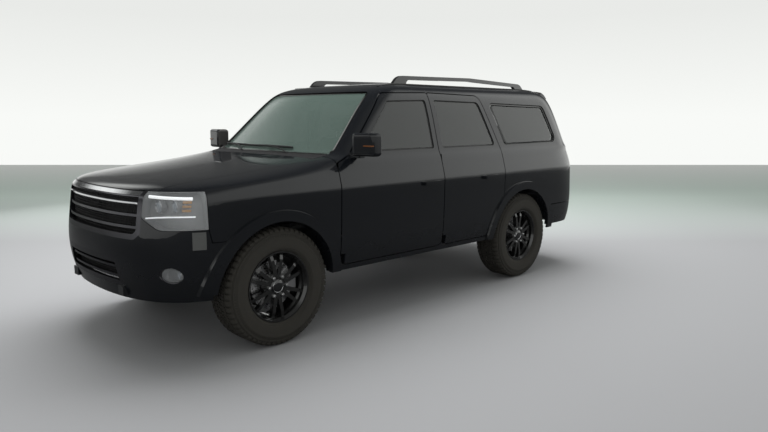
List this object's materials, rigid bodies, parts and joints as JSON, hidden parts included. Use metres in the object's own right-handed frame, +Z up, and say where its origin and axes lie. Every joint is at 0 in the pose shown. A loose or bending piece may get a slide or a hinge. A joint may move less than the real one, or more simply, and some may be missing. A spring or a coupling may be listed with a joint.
{
  "type": "sport utility vehicle",
  "caption": "Five-door sport utility vehicle on a ladder frame, with opening doors, hood and tailgate, steering front wheels and turning wheels.",
  "frame": {"origin": "on the ground below the middle of the overall box", "axes": "+X forward, +Y to the vehicle's left, +Z up"},
  "size_m": [4.8215, 2.2548, 1.8758],
  "materials": {
    "paint": "gloss",
    "plastic": "satin",
    "chrome": "polished",
    "rail": "satin",
    "interior": "matt",
    "seat": "matt",
    "side_glass": "gloss",
    "windshield": "gloss",
    "lamp": "gloss",
    "tail_lamp": "gloss",
    "underbody": "matt",
    "frame": "satin",
    "cast": "as cast",
    "steel": "dull",
    "tyre": "matt",
    "rim": "gloss"
  },
  "bodies": {
    "body": {"body_side_left": "paint", "body_side_right": "paint", "roof_panel": "paint", "fender_left": "paint", "fender_right": "paint", "front_bumper": "paint", "rear_bumper": "paint", "arch_flares": "paint", "cowl": "plastic", "grilles": "chrome", "roof_rails": "rail", "dashboard": "interior", "seats": "seat", "fixed_glass": "windshield", "front_lamps": "lamp", "tail_lamps": "tail_lamp", "floor_pan": "underbody", "ladder_frame": "frame", "front_suspension": "frame", "rear_axle": "frame", "powertrain": "cast", "fuel_tank": "plastic", "exhaust": "steel", "spare_wheel": "tyre"},
    "door_front_left": {"door_front_left": "paint", "glass_front_left": "side_glass"},
    "door_front_right": {"door_front_right": "paint", "glass_front_right": "side_glass"},
    "door_rear_left": {"door_rear_left": "paint", "glass_rear_left": "side_glass"},
    "door_rear_right": {"door_rear_right": "paint", "glass_rear_right": "side_glass"},
    "tailgate": {"tailgate": "paint", "tailgate_glass": "side_glass"},
    "hood": {"hood": "paint"},
    "knuckle_left": {"knuckle_left": "cast"},
    "knuckle_right": {"knuckle_right": "cast"},
    "wheel_front_left": {"rim_front_left": "rim", "tyre_front_left": "tyre"},
    "wheel_front_right": {"rim_front_right": "rim", "tyre_front_right": "tyre"},
    "wheel_rear_left": {"rim_rear_left": "rim", "tyre_rear_left": "tyre"},
    "wheel_rear_right": {"rim_rear_right": "rim", "tyre_rear_right": "tyre"}
  },
  "joints": [
    {"name": "door_front_left_hinge", "type": "hinge", "parent": "body", "child": "door_front_left", "pos_m": [0.94, 0.926, 0.7], "axis": [0, 0, -1], "range_deg": [0, 60]},
    {"name": "door_rear_left_hinge", "type": "hinge", "parent": "body", "child": "door_rear_left", "pos_m": [-0.172, 0.926, 0.7], "axis": [0, 0, -1], "range_deg": [0, 60]},
    {"name": "door_front_right_hinge", "type": "hinge", "parent": "body", "child": "door_front_right", "pos_m": [0.94, -0.926, 0.7], "axis": [0, 0, 1], "range_deg": [0, 60]},
    {"name": "door_rear_right_hinge", "type": "hinge", "parent": "body", "child": "door_rear_right", "pos_m": [-0.172, -0.926, 0.7], "axis": [0, 0, 1], "range_deg": [0, 60]},
    {"name": "tailgate_hinge", "type": "hinge", "parent": "body", "child": "tailgate", "pos_m": [-1.985, 0, 1.738], "axis": [0, 1, 0], "range_deg": [0, 75]},
    {"name": "hood_hinge", "type": "hinge", "parent": "body", "child": "hood", "pos_m": [1.008, 0, 1.205], "axis": [0, -1, 0], "range_deg": [0, 50]},
    {"name": "steer_left", "type": "hinge", "parent": "body", "child": "knuckle_left", "pos_m": [1.51, 0.752, 0.401], "axis": [0, 0, 1], "range_deg": [-30, 30]},
    {"name": "steer_right", "type": "hinge", "parent": "body", "child": "knuckle_right", "pos_m": [1.51, -0.752, 0.401], "axis": [0, 0, 1], "range_deg": [-30, 30]},
    {"name": "wheel_front_left_spin", "type": "hinge", "parent": "knuckle_left", "child": "wheel_front_left", "pos_m": [1.51, 0.8025, 0.401], "axis": [0, 1, 0], "continuous": true},
    {"name": "wheel_rear_left_spin", "type": "hinge", "parent": "body", "child": "wheel_rear_left", "pos_m": [-1.28, 0.8025, 0.401], "axis": [0, 1, 0], "continuous": true},
    {"name": "wheel_front_right_spin", "type": "hinge", "parent": "knuckle_right", "child": "wheel_front_right", "pos_m": [1.51, -0.8025, 0.401], "axis": [0, 1, 0], "continuous": true},
    {"name": "wheel_rear_right_spin", "type": "hinge", "parent": "body", "child": "wheel_rear_right", "pos_m": [-1.28, -0.8025, 0.401], "axis": [0, 1, 0], "continuous": true}
  ],
  "couplings": [
    {"joint": "steer_right", "follows": "steer_left", "ratio": 1}
  ]
}
